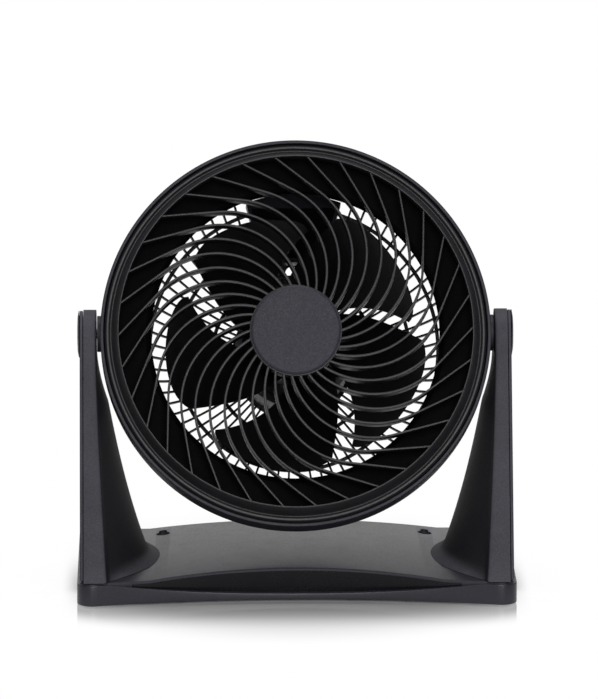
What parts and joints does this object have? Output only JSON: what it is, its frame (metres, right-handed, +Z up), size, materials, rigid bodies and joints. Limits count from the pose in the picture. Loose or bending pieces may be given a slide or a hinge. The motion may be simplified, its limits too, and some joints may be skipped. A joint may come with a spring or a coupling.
{
  "type": "air circulator fan",
  "caption": "Desk air circulator: round head with a spiral-slatted grille, tilting between two arms on a wide base.",
  "frame": {"origin": "on the floor, under the middle of the whole fan's box in its rest pose", "axes": "+Z up; -Y is the front, where the air leaves; +X to the right seen from the front; at rest the head's air stream points 21 degrees above level"},
  "size_m": [0.277, 0.1874, 0.2797],
  "materials": {
    "charcoal_plastic": "satin, fine moulded grain",
    "dark_plastic": "satin",
    "black_rubber": "matt",
    "zinc_steel": "zinc plated",
    "core_steel": "stacked sheets, varnished",
    "enamelled_copper": "enamelled wire",
    "bearing_bronze": "sintered, oiled"
  },
  "bodies": {
    "stand": {"arm_cover_left": "dark_plastic", "arm_cover_right": "dark_plastic", "arm_left": "charcoal_plastic", "arm_right": "charcoal_plastic", "arm_screw_left_front": "zinc_steel", "arm_screw_left_rear": "zinc_steel", "arm_screw_right_front": "zinc_steel", "arm_screw_right_rear": "zinc_steel", "base_shell": "charcoal_plastic", "foot_front_left": "black_rubber", "foot_front_right": "black_rubber", "foot_rear_left": "black_rubber", "foot_rear_right": "black_rubber", "pivot_cap_left": "dark_plastic", "pivot_cap_right": "dark_plastic", "pivot_washer_left": "zinc_steel", "pivot_washer_right": "zinc_steel"},
    "head": {"bearing_front": "bearing_bronze", "bearing_rear": "bearing_bronze", "bracket_front": "zinc_steel", "bracket_rear": "zinc_steel", "control_panel": "dark_plastic", "cord_gland": "black_rubber", "cover_screw_1": "zinc_steel", "cover_screw_2": "zinc_steel", "cover_screw_3": "zinc_steel", "cover_screw_4": "zinc_steel", "front_grille": "charcoal_plastic", "grille_cap": "charcoal_plastic", "grille_screw_1": "zinc_steel", "grille_screw_2": "zinc_steel", "grille_screw_3": "zinc_steel", "grille_screw_4": "zinc_steel", "housing": "charcoal_plastic", "motor_bolt_1": "zinc_steel", "motor_bolt_2": "zinc_steel", "motor_bolt_3": "zinc_steel", "motor_bolt_4": "zinc_steel", "motor_cover": "dark_plastic", "pivot_bolt_left": "zinc_steel", "pivot_bolt_right": "zinc_steel", "pivot_nut_left": "zinc_steel", "pivot_nut_right": "zinc_steel", "rear_cover": "dark_plastic", "rear_guard": "dark_plastic", "rotary_switch": "dark_plastic", "stator_core": "core_steel", "switch_cover": "dark_plastic", "winding_front": "enamelled_copper", "winding_rear": "enamelled_copper"},
    "impeller": {"impeller": "dark_plastic", "impeller_nut": "dark_plastic", "motor_shaft": "zinc_steel", "rotor_core": "core_steel"},
    "knob": {"control_knob": "dark_plastic", "switch_shaft": "zinc_steel"}
  },
  "joints": [
    {"name": "head_tilt", "type": "hinge", "parent": "stand", "child": "head", "pos_m": [0, -0.01622, 0.16002], "axis": [-1, 0, 0], "range_deg": [-21, 69]},
    {"name": "impeller_spin", "type": "hinge", "parent": "head", "child": "impeller", "pos_m": [0, -0.01711, 0.15769], "axis": [0, -0.9336, 0.3584], "continuous": true},
    {"name": "knob_turn", "type": "hinge", "parent": "head", "child": "knob", "pos_m": [0, 0.07906, 0.20592], "axis": [0, -0.8995, -0.4369], "range_deg": [0, 135]}
  ]
}
